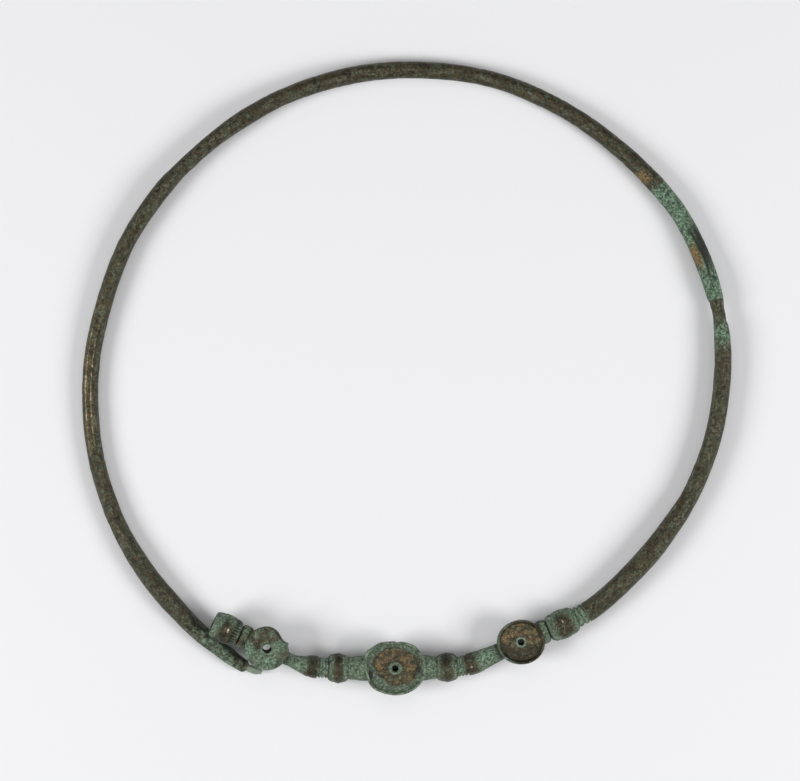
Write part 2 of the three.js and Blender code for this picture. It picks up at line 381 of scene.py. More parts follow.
def bar_radius(s):
    r = rod_radius(s)
    r = np.where(s < ROD_START, outer_profile(s - RIGHT_AT), r)
    r = np.where(s < RIGHT_AT, inner_profile(s - CENTRE_AT, RIGHT_SIDE), r)
    r = np.where(s < CENTRE_AT, inner_profile(CENTRE_AT - s, LEFT_SIDE), r)
    r = np.where(s < LEFT_AT, outer_profile(LEFT_AT - s), r)
    shrink = step_between(ROD_END_AT - 0.5, ROD_END_AT, s)
    r = np.where(s > ROD_END_AT - 0.5, ROD_END_RADIUS - 0.35 * shrink, r)
    tip = step_between(TOTAL - 1.6, TOTAL, s)
    tenon = TENON_RADIUS - (TENON_RADIUS - TENON_TIP_RADIUS) * tip
    tenon -= 0.12 * hump(s, ROD_END_AT + 0.5, 0.25)
    return np.where(s > ROD_END_AT + 0.05, tenon, r)


# Zones of colour on the metal: the dark zone is dark patina and painted shade, and the highlight zone, the
# fourth, is painted highlights.
ZONES = ("green", "brown", "dark", "bright", "gold", "pale")
ZONE_LIMIT = 1.5


class Shells:
    """Collects closed surfaces, each with its zones, into one mesh."""

    def __init__(self):
        self.points = []
        self.faces = []
        self.zones = {name: [] for name in ZONES}
        self.wraps = []
        self.count = 0

    def add_rings(self, rings, zones, wrap, closed_along=False):
        """Adds an array of rings by sides by 3. A fan closes each end, or closed_along joins the ends."""
        n, m = rings.shape[:2]
        grid = np.arange(n * m).reshape(n, m) + self.count
        nxt = np.roll(grid, -1, axis=1)
        a, b = grid[:-1], nxt[:-1]
        c, d = nxt[1:], grid[1:]
        quads = np.stack([a, b, c, d], axis=-1).reshape(-1, 4)
        faces = quads.tolist()
        points = [rings.reshape(-1, 3)]
        if closed_along:
            last = np.stack([grid[-1], nxt[-1], nxt[0], grid[0]], axis=-1)
            faces += last.tolist()
        else:
            points += [rings[0].mean(0)[None], rings[-1].mean(0)[None]]
            first, final = self.count + n * m, self.count + n * m + 1
            faces += [[first, q, p] for p, q in zip(grid[0], nxt[0])]
            faces += [[final, p, q] for p, q in zip(grid[-1], nxt[-1])]
        self.faces += faces
        self.points += points
        wrap = wrap.reshape(-1, 3)
        if not closed_along:
            wrap = np.concatenate([wrap, wrap[:1], wrap[-1:]])
        self.wraps.append(wrap)
        for name in ZONES:
            flat = zones[name].reshape(-1)
            if not closed_along:
                ends = [zones[name][0].mean(), zones[name][-1].mean()]
                flat = np.concatenate([flat, ends])
            self.zones[name].append(flat)
        self.count += sum(len(p) for p in points)


def ring_degrees(points):
    return np.degrees(np.arctan2(points[..., 1], points[..., 0]))


# Damage along the ring, by degrees round from +X and by lean: radians outwards from the top of the rod.
CRACK = {"from": 14, "to": 30.5, "lean": 0.0, "half_width": 0.15, "depth": 0.42}
FLANK = {"from": 18, "to": 30.5, "lean": 0.72, "spread": 0.72, "depth": 0.34}
CREASE = {"degrees": 12.0, "slant": 1.15, "half_width": 0.5, "depth": 0.34}
DAMAGE_BEYOND_X = 60


def damage(points, lean):
    """How far below its round the ring's surface lies at its crack, its dented flank and its crease."""
    degrees = ring_degrees(points)
    mask = (points[..., 0] > DAMAGE_BEYOND_X).astype(float)
    share = np.clip((degrees - CRACK["from"]) / (CRACK["to"] - CRACK["from"]), 0, 1)
    line = CRACK["lean"] + 0.2 * (1 - share) ** 2 - 0.1 * np.sin(9 * share)
    crack = hump(lean, line, CRACK["half_width"]) * np.sqrt(np.sin(np.pi * share))
    share = np.clip((degrees - FLANK["from"]) / (FLANK["to"] - FLANK["from"]), 0, 1)
    flank = hump(lean, FLANK["lean"], FLANK["spread"]) * np.sin(np.pi * share)
    across = degrees - CREASE["degrees"] + CREASE["slant"] * lean
    crease = hump(across, 0, CREASE["half_width"]) * hump(lean, 0, 1.9)
    return mask * (
        CRACK["depth"] * crack + FLANK["depth"] * flank + CREASE["depth"] * crease
    ), mask * crack, mask * flank


# Places along the front that the patina follows.
LEFT_KEEL = CENTRE_AT - LEFT_SIDE["neck_end"] - 2.3
RIGHT_KEEL = CENTRE_AT + RIGHT_SIDE["neck_end"] + 2.2
LEFT_BRIM = CENTRE_AT - 19.4
RIGHT_BRIM = CENTRE_AT + 17.4
LEFT_END_BEAD = LEFT_AT - 10.0
RIGHT_END_BEAD = RIGHT_AT + 10.6
REELS = (CENTRE_AT - 16.6, CENTRE_AT + 15.3, RIGHT_AT + 14.6)
SHOULDER_EDGES = (LEFT_AT - SHOULDER_TO, RIGHT_AT + SHOULDER_TO)
BY_THE_DISCS = (LEFT_AT + 5.2, LEFT_AT - 4.6, RIGHT_AT + 4.8, RIGHT_AT - 5.6)
BEAD_EDGES = (
    CENTRE_AT - LEFT_SIDE["neck_end"],
    CENTRE_AT + RIGHT_SIDE["neck_end"],
    CENTRE_AT - LEFT_SIDE["neck_end"] - BEAD_LENGTH,
    CENTRE_AT + RIGHT_SIDE["neck_end"] + BEAD_LENGTH,
)
# Bands right round the bar: zone, amount, place along the bar, spread along it.
BANDS = [
    ("brown", 1.1, LEFT_KEEL, 1.3),
    ("dark", 0.3, LEFT_KEEL, 0.5),
    ("brown", 1.1, RIGHT_KEEL, 1.6),
    ("dark", 0.3, RIGHT_KEEL, 0.5),
    ("brown", 1.2, RIGHT_BRIM, 1.6),
    ("brown", 1.0, LEFT_BRIM, 1.7),
    ("dark", 0.6, LEFT_BRIM + 0.2, 1.2),
]
BANDS += [("green", 0.5, place, 1.2) for place in REELS]
BANDS += [("pale", 0.5, place, 1.2) for place in REELS]
# Painted shade in the grooves at the shoulders' and the beads' edges, and where the bar meets the discs.
BANDS += [("dark", 0.9, place, 0.3) for place in SHOULDER_EDGES]
BANDS += [("dark", 0.7, place, 0.6) for place in BY_THE_DISCS]
BANDS += [("dark", 0.5, place, 0.25) for place in BEAD_EDGES]
# Spots on one side of the bar: as the bands, then the lean of the middle and the spread in lean.
# Of these spots, the pale yellow ones are painted highlights, and the dark spot on the inner side (negative
# lean) of the right trumpet is painted shade.
SPOTS = [
    ("dark", 0.5, RIGHT_BRIM, 1.4, -0.7, 0.5),
    ("bright", 0.8, RIGHT_BRIM + 0.1, 0.45, 0.15, 0.22),
    ("dark", 0.9, LEFT_AT - 11.6, 1.5, 1.1, 0.4),
    ("pale", 0.6, LEFT_AT - 8.0, 0.9, 0.6, 1.0),
    ("brown", 1.0, LEFT_AT - 6.0, 1.2, 0.4, 0.9),
    ("green", 0.55, CENTRE_AT + 21.5, 2.5, -0.2, 0.9),
]
# On each end bead a brown patch with a painted highlight, and painted shade on its inner side.
for bead_at, bead_lean in ((RIGHT_END_BEAD, 0.15), (LEFT_END_BEAD, 0.35)):
    SPOTS += [
        ("brown", 1.4, bead_at, 2.1, bead_lean, 0.95),
        ("bright", 0.85, bead_at + 0.1, 0.35, bead_lean - 0.45, 0.25),
        ("dark", 0.9, bead_at - 0.9, 0.9, bead_lean - 0.85, 0.4),
        ("dark", 0.4, bead_at, 0.4, bead_lean + 0.4, 0.5),
    ]
# The green stretch of the ring fades in and out between these degrees round from +X.
SHEET_STARTS = (13, 15.5)
SHEET_ENDS = (39, 36)
# Other stretches of the ring: the middle and the spread, in degrees round from +X.
TAN_PATCH = (22.8, 2.6)
TAN_SPOT = (40.5, 1.8)
GREEN_BY_PINCH = (8.0, 3.2)
PALE_RIGHT = (-12, 16)
MOTTLED_RIGHT = (-40, 30)
# The stretch at the left where worn tan lines carry painted highlights.
WORN_AND_HIGHLIT_LEFT = (181, 17)
GREEN_BY_END = (235, 7)
DARK_BY_END = (236, 14)
PALE_BY_END = (238, 6)
# The lines along the left of the ring, worn tan metal first and painted highlights second: amount, lean,
# spread in lean.
GOLD_LINES = [(1.0, 0.55, 0.2), (0.9, -0.2, 0.14), (0.5, 0.15, 0.1)]
PAINTED_HIGHLIGHT_LINES = [(0.68, 0.5, 0.16), (0.68, -0.2, 0.1)]


def bar_zones(s, lean, points, rod):
    """The patina on the bar, with its painted shade and painted highlights: rod is 1 on the plain rod and 0
    on the front's mouldings.
    """
    zones = {name: np.zeros(s.shape) for name in ZONES}
    for name, amount, place, spread in BANDS:
        zones[name] += amount * hump(s, place, spread)
    for name, amount, place, spread, lean_at, lean_spread in SPOTS:
        zones[name] += amount * hump(s, place, spread) * hump(lean, lean_at, lean_spread)
    # Painted shade: the keels are darkest on their inner side, and the bar is dark underneath.
    inner_side = step_between(-0.1, -0.7, lean)
    for place, spread in ((LEFT_KEEL, 1.3), (RIGHT_KEEL, 1.6)):
        zones["dark"] += 0.55 * hump(s, place, spread) * inner_side
    zones["dark"] += 0.65 * step_between(0.55, -0.2, np.cos(lean))
    add_ring_zones(zones, lean, points, rod)
    # The tenon is pale, without brown.
    zones["pale"] += 1.1 * step_between(ROD_END_AT, ROD_END_AT + 0.3, s)
    zones["brown"] *= 1 - step_between(ROD_END_AT - 0.1, ROD_END_AT + 0.2, s)
    return zones


def add_ring_zones(zones, lean, points, rod):
    """Adds the patina of the plain rod to zones, with painted highlights on the lines at the left and
    painted shade by the rod's end.
    """
    degrees = ring_degrees(points)
    turn = degrees % 360
    right = rod * (points[..., 0] > 0)
    left = rod * (points[..., 0] < 0)
    # At the right a green stretch with a tan patch on its inner side, and more green below the pinch.
    sheet = step_between(*SHEET_STARTS, degrees) * step_between(*SHEET_ENDS, degrees)
    tan_patch = hump(degrees, *TAN_PATCH) * step_between(0.1, -0.35, lean)
    tan_spot = hump(degrees, *TAN_SPOT) * step_between(0.3, -0.2, lean)
    zones["green"] += right * sheet * (1.0 - 1.2 * tan_patch)
    zones["green"] += right * 0.7 * hump(degrees, *GREEN_BY_PINCH)
    zones["gold"] += right * (0.9 * tan_spot + tan_patch)
    zones["brown"] += rod * 0.9 - right * 0.45 * sheet
    # At the left the lines along the rod: worn tan metal, with painted highlights on them.
    worn = left * hump(turn, *WORN_AND_HIGHLIT_LEFT)
    for amount, lean_at, spread in GOLD_LINES:
        zones["gold"] += amount * worn * hump(lean, lean_at, spread)
    for amount, lean_at, spread in PAINTED_HIGHLIGHT_LINES:
        zones["bright"] += amount * worn * hump(lean, lean_at, spread)
    zones["pale"] += 0.25 * worn
    # Mottling all along, and painted shade on the inner side and green flecks by the rod's end.
    mottling = layered_noise(points.reshape(-1, 3) + 21, 2.6).reshape(lean.shape)
    zones["brown"] -= rod * 0.4 * mottling
    zones["gold"] += rod * 0.45 * np.clip(-mottling, 0, 1) * hump(degrees, *MOTTLED_RIGHT)
    by_end = left * hump(turn, *DARK_BY_END)
    zones["dark"] += 0.7 * by_end * step_between(-0.3, -0.9, lean)
    zones["green"] += 0.25 * by_end + rod * 0.35 * hump(turn, *GREEN_BY_END)
    zones["pale"] += rod * 0.25 * hump(degrees, *PALE_RIGHT)
    zones["pale"] += rod * 0.3 * hump(turn, *PALE_BY_END)


# The toothed borders of the end beads: place along the bar and depth. The one at the right is fainter.
TEETH = ((LEFT_AT - 8.2, 0.38), (RIGHT_AT + 8.2, 0.1))
TEETH_ROUND = 26
BORE_RINGS = 14
CHIPPED_FACE = 0.28


def bar_shell(shells, start, end, step, sides, bore=None):
    """A closed stretch of the bar from start to end along it, hollowed from its start as deep as bore."""
    if callable(step):
        stops = [start]
        while stops[-1] < end:
            stops.append(min(stops[-1] + step(stops[-1]), end))
        s = np.array(stops)
    else:
        s = np.linspace(start, end, int((end - start) / step) + 1)
    lean = np.linspace(0, 2 * np.pi, sides, endpoint=False)
    lean = (lean + np.pi) % (2 * np.pi) - np.pi
    s_grid, lean_grid = np.meshgrid(s, lean, indexing="ij")
    radius = np.repeat(bar_radius(s)[:, None], sides, axis=1)
    middle = path_at(s)
    _, outward, above = axes_at(s)
    aim = (
        outward[:, None] * np.sin(lean_grid)[..., None]
        + above[:, None] * np.cos(lean_grid)[..., None]
    )
    round_points = middle[:, None] + aim * radius[..., None]
    flat = round_points.reshape(-1, 3)
    rod = step_between(ROD_START - 0.2, ROD_START + 0.4, s_grid)
    lost, crack, flank = damage(round_points, lean_grid)
    toothed = np.zeros(s_grid.shape)
    teeth = np.clip(np.cos(TEETH_ROUND * lean_grid) * 1.5, -1, 1) * 0.5 + 0.5
    for place, depth in TEETH:
        cut = depth * teeth * hump(s_grid, place, 0.75)
        lost = lost + cut
        toothed = toothed + 4 * cut
    lumps = layered_noise(flat, LUMP_SIZE).reshape(s_grid.shape)
    grain = layered_noise(flat, GRAIN_SIZE, 2).reshape(s_grid.shape)
    pits = layered_noise(flat + 40, PIT_SIZE, 2).reshape(s_grid.shape)
    pits = np.clip(pits - PIT_LEVEL, 0, 1)
    height = LUMP_HEIGHT_ROD + (LUMP_HEIGHT_FRONT - LUMP_HEIGHT_ROD) * (1 - rod)
    swell = height * lumps + GRAIN_HEIGHT * grain - PIT_DEPTH * pits
    ease = np.clip(radius / 1.2, 0, 1)
    radius = radius - lost + (swell - BAR_INSET) * ease
    points = middle[:, None] + aim * radius[..., None]
    zones = bar_zones(s_grid, lean_grid, round_points, rod)
    # Painted shade in the pits, along the crack and between the teeth. The dented flank is darker both from
    # missing patina and from painted shade.
    zones["dark"] += 1.6 * pits + 0.9 * crack + 1.1 * flank + toothed
    zones["green"] *= 1 - 0.8 * flank
    if bore is not None:
        bore_s = np.linspace(start + bore, start, BORE_RINGS)
        _, bore_outward, bore_above = axes_at(bore_s)
        bore_aim = (
            bore_outward[:, None] * np.sin(lean)[None, :, None]
            + bore_above[:, None] * np.cos(lean)[None, :, None]
        )
        inner = path_at(bore_s)[:, None] + bore_aim * SOCKET_RADIUS
        chipped = layered_noise(points[0] + 5, 1.4) * CHIPPED_FACE
        points[0] -= axes_at(s[:1])[0] * (chipped[:, None] - CHIPPED_FACE)
        points = np.concatenate([inner, points])
        # The socket's inside is dark all over: painted shade.
        for name in ZONES:
            added = np.full(inner.shape[:2], 1.0 if name == "dark" else 0.0)
            zones[name] = np.concatenate([added, zones[name]])
    points[..., 2] = np.maximum(points[..., 2], GROUND_CLEARANCE)
    # Coordinates along and round the bar, in which the noise is drawn out lengthwise.
    wrap = np.stack(
        [s_grid * STREAK_ALONG, lean_grid * STREAK_ROUND, 0 * s_grid], axis=-1
    )
    if bore is not None:
        wrap = np.concatenate([np.zeros(inner.shape), wrap])
    shells.add_rings(points, zones, wrap)


def disc_axes(at):
    """The row's X and Y directions laid into the disc's tilted face, and the face's own upward direction."""
    s = np.array([along_to(FRONT_KNOTS.index(at))])
    _, outward, above = axes_at(s)
    outward, above = outward[0], above[0]
    along = np.cross(above, outward)
    turn = -math.atan2(along[1], along[0])
    cos, sin = math.cos(turn), math.sin(turn)
    across = -outward
    return along * cos + across * sin, -along * sin + across * cos, above


def corner_reach(corners, turn):
    """How far the edge stands out at turn. Each corner is degrees from +X, reach, and spread in degrees."""
    total = np.zeros_like(turn)
    for at, by, spread in corners:
        off = np.angle(np.exp(1j * (turn - math.radians(at))))
        total += by * np.exp(-((off / math.radians(spread)) ** 2))
    return total


# The discs: half widths in X and Y, depths of the foot and of the dish, radius of the pin hole, width of the
# boss round it, and corners as degrees round from +X, reach, and spread in degrees.
LEFT_FORM = {
    "half_widths": (5.2, 5.15),
    "foot": 3.1,
    "dish": 0.15,
    "hole": 1.0,
    "boss": 0.25,
    "corners": [(34, -0.95, 28), (13, 0.5, 5), (-20, 0.15, 12)],
}
CENTRE_FORM = {
    "half_widths": (7.2, 6.3),
    "foot": 3.6,
    "dish": 0.7,
    "hole": 0.7,
    "boss": 0.75,
    "corners": [
        (148, 0.85, 16),
        (120, 0.45, 16),
        (55, 0.3, 18),
        (86, -0.3, 2.5),
        (225, 0.25, 14),
        (196, -0.2, 9),
    ],
}
RIGHT_FORM = {
    "half_widths": (5.65, 5.25),
    "foot": 3.1,
    "dish": 0.7,
    "hole": 0.7,
    "boss": 0.5,
    "corners": [(120, -0.1, 25)],
}


def disc_shell(shells, at, form, floor_zones):
    """A dished disc with a pin hole right through it: a ring of sections whose profile closes on itself."""
    edge, edge_in_y = form["half_widths"]
    foot, hole, boss = form["foot"], form["hole"], form["boss"]
    dish = form["dish"]
    floor = DISC_HEIGHT - dish
    outline = [
        (hole, -foot),
        (edge * FOOT_SHARE, -foot),
        (edge * BELLY_SHARE, -foot * 0.3),
        (edge - 0.25, DISC_HEIGHT - WALL_HEIGHT),
        (edge - 0.02, DISC_HEIGHT - WALL_HEIGHT / 2),
        (edge - 0.08, DISC_HEIGHT - 0.3),
        (edge - 0.2, DISC_HEIGHT - 0.1),
        (edge - RIM_WIDTH * 0.6, DISC_HEIGHT - 0.03),
        (edge - RIM_WIDTH, DISC_HEIGHT - 0.12),
        (edge - RIM_WIDTH - 0.15, floor + dish * 0.35),
        (edge - RIM_WIDTH - 0.55, floor),
        (hole + boss, floor),
        (hole + boss * 0.75, floor + 0.2),
        (hole + boss * 0.3, floor + 0.24),
        (hole, floor + 0.1),
    ]
    profile = []
    for (r0, z0), (r1, z1) in zip(outline, outline[1:] + outline[:1]):
        count = max(1, int(math.hypot(r1 - r0, z1 - z0) / PROFILE_STEP))
        for i in range(count):
            t = i / count
            profile.append((r0 + (r1 - r0) * t, z0 + (z1 - z0) * t))
    profile = np.array(profile)
    turn = np.linspace(0, 2 * np.pi, DISC_SIDES, endpoint=False)
    r = np.repeat(profile[:, :1], DISC_SIDES, axis=1)
    z = np.repeat(profile[:, 1:], DISC_SIDES, axis=1)
    angle = np.repeat(turn[None], len(profile), axis=0)
    part = r / edge
    more = corner_reach(form["corners"], angle) * part**2
    squash = 1 + (edge_in_y / edge - 1) * step_between(hole, hole + 1.5, r)
    x = r * np.cos(angle) + more * np.cos(angle)
    y = r * np.sin(angle) * squash + more * np.sin(angle)
    flat = np.stack([x + at[0], y + at[1], z + at[2]], axis=-1).reshape(-1, 3)
    coarse = layered_noise(flat, 2.2).reshape(x.shape)
    fine = layered_noise(flat + 9, 0.6, 2).reshape(x.shape)
    upper = step_between(DISC_HEIGHT - WALL_HEIGHT, DISC_HEIGHT, z)
    rim = step_between(edge - RIM_WIDTH - 0.4, edge - RIM_WIDTH, r) * upper
    push = 0.07 * coarse + 0.03 * fine
    x += (push - DISC_INSET) * part * np.cos(angle)
    y += (push - DISC_INSET) * part * np.sin(angle)
    above_foot = (z > -foot + 0.05).astype(float)
    z = z + above_foot * (0.05 * coarse + 0.03 * fine - 0.08 * rim - 0.03)
    u, v, w = disc_axes(at)
    points = np.array(at) + x[..., None] * u + y[..., None] * v + z[..., None] * w
    points[..., 2] = np.maximum(points[..., 2], GROUND_CLEARANCE)
    on_floor = (
        (1 - rim)
        * step_between(floor - 0.3, floor - 0.1, z)
        * step_between(hole + boss, hole + boss + 0.2, r)
    )
    zones = floor_zones(x, y, r, on_floor, rim, edge)
    crease = hump(r, edge - RIM_WIDTH - 0.25, 0.16) * (z < DISC_HEIGHT - 0.1)
    wall = step_between(DISC_HEIGHT - 0.5, DISC_HEIGHT - 1.2, z) * (r > 2)
    in_hole = (r < hole + 0.05).astype(float)
    # Painted shade in the groove inside the rim, on the lower wall and underside, and down the pin hole.
    zones["dark"] += 0.7 * crease * step_between(1, 2, z) + 0.8 * wall + in_hole
    wrap = np.stack([x, y, z], axis=-1)
    # The sections are taken in reverse, so that the faces look outwards.
    backwards = {name: values[::-1] for name, values in zones.items()}
    shells.add_rings(points[::-1], backwards, wrap[::-1], closed_along=True)


# The patina on each disc's face with some painted shade, x to the right and y towards the nape from the
# disc's middle.
def blotches(x, y, size, shift):
    flat = np.stack([x, y, 0 * x], axis=-1).reshape(-1, 3) + shift
    return np.clip(0.5 + 0.8 * layered_noise(flat, size), 0, 1).reshape(x.shape)


def centre_floor(x, y, r, on_floor, rim, edge):
    nothing = np.zeros_like(x)
    blotch = blotches(x, y, 2.4, 3)
    oval = np.hypot((x - 0.1) / 5.0, (y - 0.3) / 4.0) + 0.5 * (blotch - 0.5)
    worn = on_floor * step_between(1.12, 0.88, oval)
    by_hole = hump(r, 1.9, 0.45)
    # Painted shadow of the recess's walls: dark crescents at its left and right.
    wall_shadows = hump(np.hypot(x + 5.9, (y + 1.6) * 0.6), 0, 0.7) + hump(
        np.hypot(x - 5.3, (y + 0.2) * 0.6), 0, 0.5
    )
    return {
        "green": 0.2 * on_floor * (1 - worn),
        "brown": 1.1 * worn + 0.3 * on_floor,
        "dark": on_floor * (0.35 * by_hole + 1.1 * wall_shadows + 0.2 * (1 - worn)),
        "bright": nothing,
        "gold": worn * (0.7 - 0.6 * by_hole) * (0.55 + 0.5 * blotch),
        "pale": 0.45 * rim,
    }


def right_floor(x, y, r, on_floor, rim, edge):
    nothing = np.zeros_like(x)
    blotch = blotches(x, y, 2.4, 11)
    upper = step_between(-3.0, 1.0, y + 0.3 * blotch)
    right_rim = rim * step_between(-0.5, 0.3, x / edge)
    return {
        "green": nothing,
        "brown": 1.3 * on_floor + 0.45 * rim + 0.4 * right_rim,
        "dark": on_floor * (0.25 + 0.15 * blotch) * (1 - upper) + 0.3 * rim,
        "bright": nothing,
        "gold": on_floor * (0.15 + 0.3 * upper + 0.15 * blotch),
        "pale": 0.9 * hump(r, 1.0, 0.22),
    }


def left_floor(x, y, r, on_floor, rim, edge):
    nothing = np.zeros_like(x)
    blotch = blotches(x, y, 1.2, 5)
    inner = np.maximum(on_floor, rim)
    spot = hump(np.hypot(x + 2.4, y - 0.9), 0, 0.95)
    top = step_between(1.2, 2.6, y + blotch)
    low_right = step_between(0.6, 2.2, x) * step_between(0.6, -0.6, y + 1.2 * blotch)
    # Painted shade on the upper right of the rim.
    rim_shade = rim * step_between(0.2, 0.6, x / edge) * step_between(-0.4, 0.3, y / edge)
    patches = (
        hump(np.hypot(x + 4.2, (y - 0.2) * 0.6), 0, 1.6)
        + 0.9 * hump(np.hypot(x - 2.9, y - 0.6), 0, 0.9)
        + 1.1 * hump(np.hypot(x - 0.8, (y + 3.2) * 1.4), 0, 1.6)
    )
    mottled = 0.25 * top + 0.25 * low_right + 0.75 * (blotch - 0.15)
    return {
        "green": inner * patches,
        "brown": inner * (1.5 * spot + mottled) + 0.3 * rim * top,
        "dark": inner * (0.55 * spot + 0.25 * top * blotch) + 0.5 * rim_shade,
        "bright": nothing,
        "gold": inner * (0.35 * top * blotch + 0.25 * low_right),
        "pale": nothing,
    }


def rod_step(s):
    """Finer steps where the rod meets the front and at the rod's end."""
    near_front = s < ROD_START + 1
    near_end = s > ROD_END_AT - 1
    return FRONT_STEP if near_front or near_end else ROD_STEP


def build_torc():
    shells = Shells()
    for start, end, bore in (
        (SOCKET_FACE_INSET, LEFT_AT - LEFT_DISC_GAP, SOCKET_DEPTH),
        (LEFT_AT + LEFT_DISC_GAP, CENTRE_AT - DISC_GAP, None),
        (CENTRE_AT + DISC_GAP, RIGHT_AT - DISC_GAP, None),
    ):
        bar_shell(shells, start, end, FRONT_STEP, FRONT_SIDES, bore)
    bar_shell(shells, RIGHT_AT + DISC_GAP, TOTAL, rod_step, ROD_SIDES)
    disc_shell(shells, LEFT_DISC, LEFT_FORM, left_floor)
    disc_shell(shells, CENTRE_DISC, CENTRE_FORM, centre_floor)
    disc_shell(shells, RIGHT_DISC, RIGHT_FORM, right_floor)
    points = (np.concatenate(shells.points) + CENTRING) * MM
    mesh = bpy.data.meshes.new("torc_metal")
    mesh.from_pydata(points.tolist(), [], shells.faces)
    for name in ZONES:
        values = np.concatenate(shells.zones[name]).astype(np.float32)
        attribute = mesh.attributes.new(name, "FLOAT", "POINT")
        attribute.data.foreach_set("value", np.clip(values, 0, ZONE_LIMIT))
    wrap = mesh.attributes.new("wrap", "FLOAT_VECTOR", "POINT")
    wrap.data.foreach_set(
        "vector", np.concatenate(shells.wraps).astype(np.float32).reshape(-1)
    )
    mesh.shade_smooth()
    mesh.update()
    metal = bpy.data.objects.new("torc_metal", mesh)
    bpy.context.scene.collection.objects.link(metal)
    return metal


# Materials
class Nodes:
    """Short names for the shader nodes that the patina needs."""

    def __init__(self, material):
        material.use_nodes = True
        self.tree = material.node_tree
        self.tree.nodes.clear()

    def new(self, kind, **settings):
        node = self.tree.nodes.new(kind)
        for key, value in settings.items():
            setattr(node, key, value)
        return node

    def link(self, source, target):
        self.tree.links.new(source, target)

    def attribute(self, name):
        return self.new("ShaderNodeAttribute", attribute_name=name).outputs["Fac"]

    def noise(self, coordinates, scale, detail=4.0, rough=0.55, distortion=0.0):
        node = self.new("ShaderNodeTexNoise")
        self.link(coordinates, node.inputs["Vector"])
        node.inputs["Scale"].default_value = scale
        node.inputs["Detail"].default_value = detail
        node.inputs["Roughness"].default_value = rough
        node.inputs["Distortion"].default_value = distortion
        return node.outputs["Fac"]

    def ramp(self, value, low, high):
        node = self.new("ShaderNodeMapRange", clamp=True)
        self.link(value, node.inputs["Value"])
        node.inputs["From Min"].default_value = low
        node.inputs["From Max"].default_value = high
        return node.outputs["Result"]

    def math(self, operation, a, b, clamp=False):
        node = self.new("ShaderNodeMath", operation=operation, use_clamp=clamp)
        for socket, value in zip(node.inputs, (a, b)):
            if isinstance(value, (int, float)):
                socket.default_value = value
            else:
                self.link(value, socket)
        return node.outputs[0]

    def mix(self, factor, a, b):
        node = self.new("ShaderNodeMix", data_type="RGBA")
        sockets = (node.inputs[0], node.inputs[6], node.inputs[7])
        for socket, value in zip(sockets, (factor, a, b)):
            if isinstance(value, tuple):
                socket.default_value = (*value, 1)
            elif isinstance(value, (int, float)):
                socket.default_value = value
            else:
                self.link(value, socket)
        return node.outputs[2]


def linear(red, green, blue):
    """A display colour of 0 to 255 as the linear colour that shaders use."""
    return tuple(
        c / 12.92 if c <= 0.04045 else ((c + 0.055) / 1.055) ** 2.4
        for c in (red / 255, green / 255, blue / 255)
    )


CORROSION_ROUGHNESS = 0.72
METAL_SHARE = 0.55
METAL_SHEEN = 0.34
UNEVEN_SHEEN = 0.6
BUMP_STRENGTH = 0.9
BUMP_HEIGHT = 0.22 * MM
BLOOM_STRENGTH = 0.55
PALE_STRENGTH = 0.6
DARK_STRENGTH = 0.92


